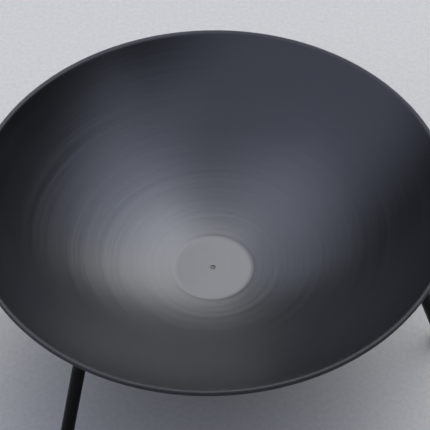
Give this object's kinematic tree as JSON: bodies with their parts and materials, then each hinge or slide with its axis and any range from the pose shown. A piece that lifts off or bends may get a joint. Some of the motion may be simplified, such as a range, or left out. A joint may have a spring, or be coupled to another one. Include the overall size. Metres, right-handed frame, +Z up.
{
  "type": "fire bowl",
  "caption": "Wide round spun steel fire bowl with a turned-down rim and a flat drained floor, on splayed round tube legs that pull off welded spigots.",
  "frame": {"origin": "on the ground, on the bowl's axis", "axes": "+Z up along the bowl's axis, -Y the front that the picture is taken from"},
  "size_m": [0.8256, 0.8053, 0.3403],
  "materials": {
    "bowl_paint": "satin black high-temperature paint",
    "frame_paint": "satin black powder coat",
    "weld_paint": "satin black, over a rippled weld bead",
    "spigot_steel": "plain drawn tube",
    "cap_plastic": "moulded, matt"
  },
  "bodies": {
    "root": {"bowl": "bowl_paint", "stub_welds": "weld_paint", "stub_front_left": "frame_paint", "spigot_front_left": "spigot_steel", "stub_right": "frame_paint", "spigot_right": "spigot_steel", "stub_rear": "frame_paint", "spigot_rear": "spigot_steel"},
    "leg_front_left": {"leg_front_left": "frame_paint", "foot_cap_front_left": "cap_plastic"},
    "leg_right": {"leg_right": "frame_paint", "foot_cap_right": "cap_plastic"},
    "leg_rear": {"leg_rear": "frame_paint", "foot_cap_rear": "cap_plastic"}
  },
  "joints": [
    {"name": "leg_front_left_pull", "type": "slide", "parent": "root", "child": "leg_front_left", "axis": [-0.2159, -0.261, -0.9409], "range_m": [0, 0.04]},
    {"name": "leg_right_pull", "type": "slide", "parent": "root", "child": "leg_right", "axis": [0.334, -0.0565, -0.9409], "range_m": [0, 0.04]},
    {"name": "leg_rear_pull", "type": "slide", "parent": "root", "child": "leg_rear", "axis": [-0.1181, 0.3175, -0.9409], "range_m": [0, 0.04]}
  ]
}
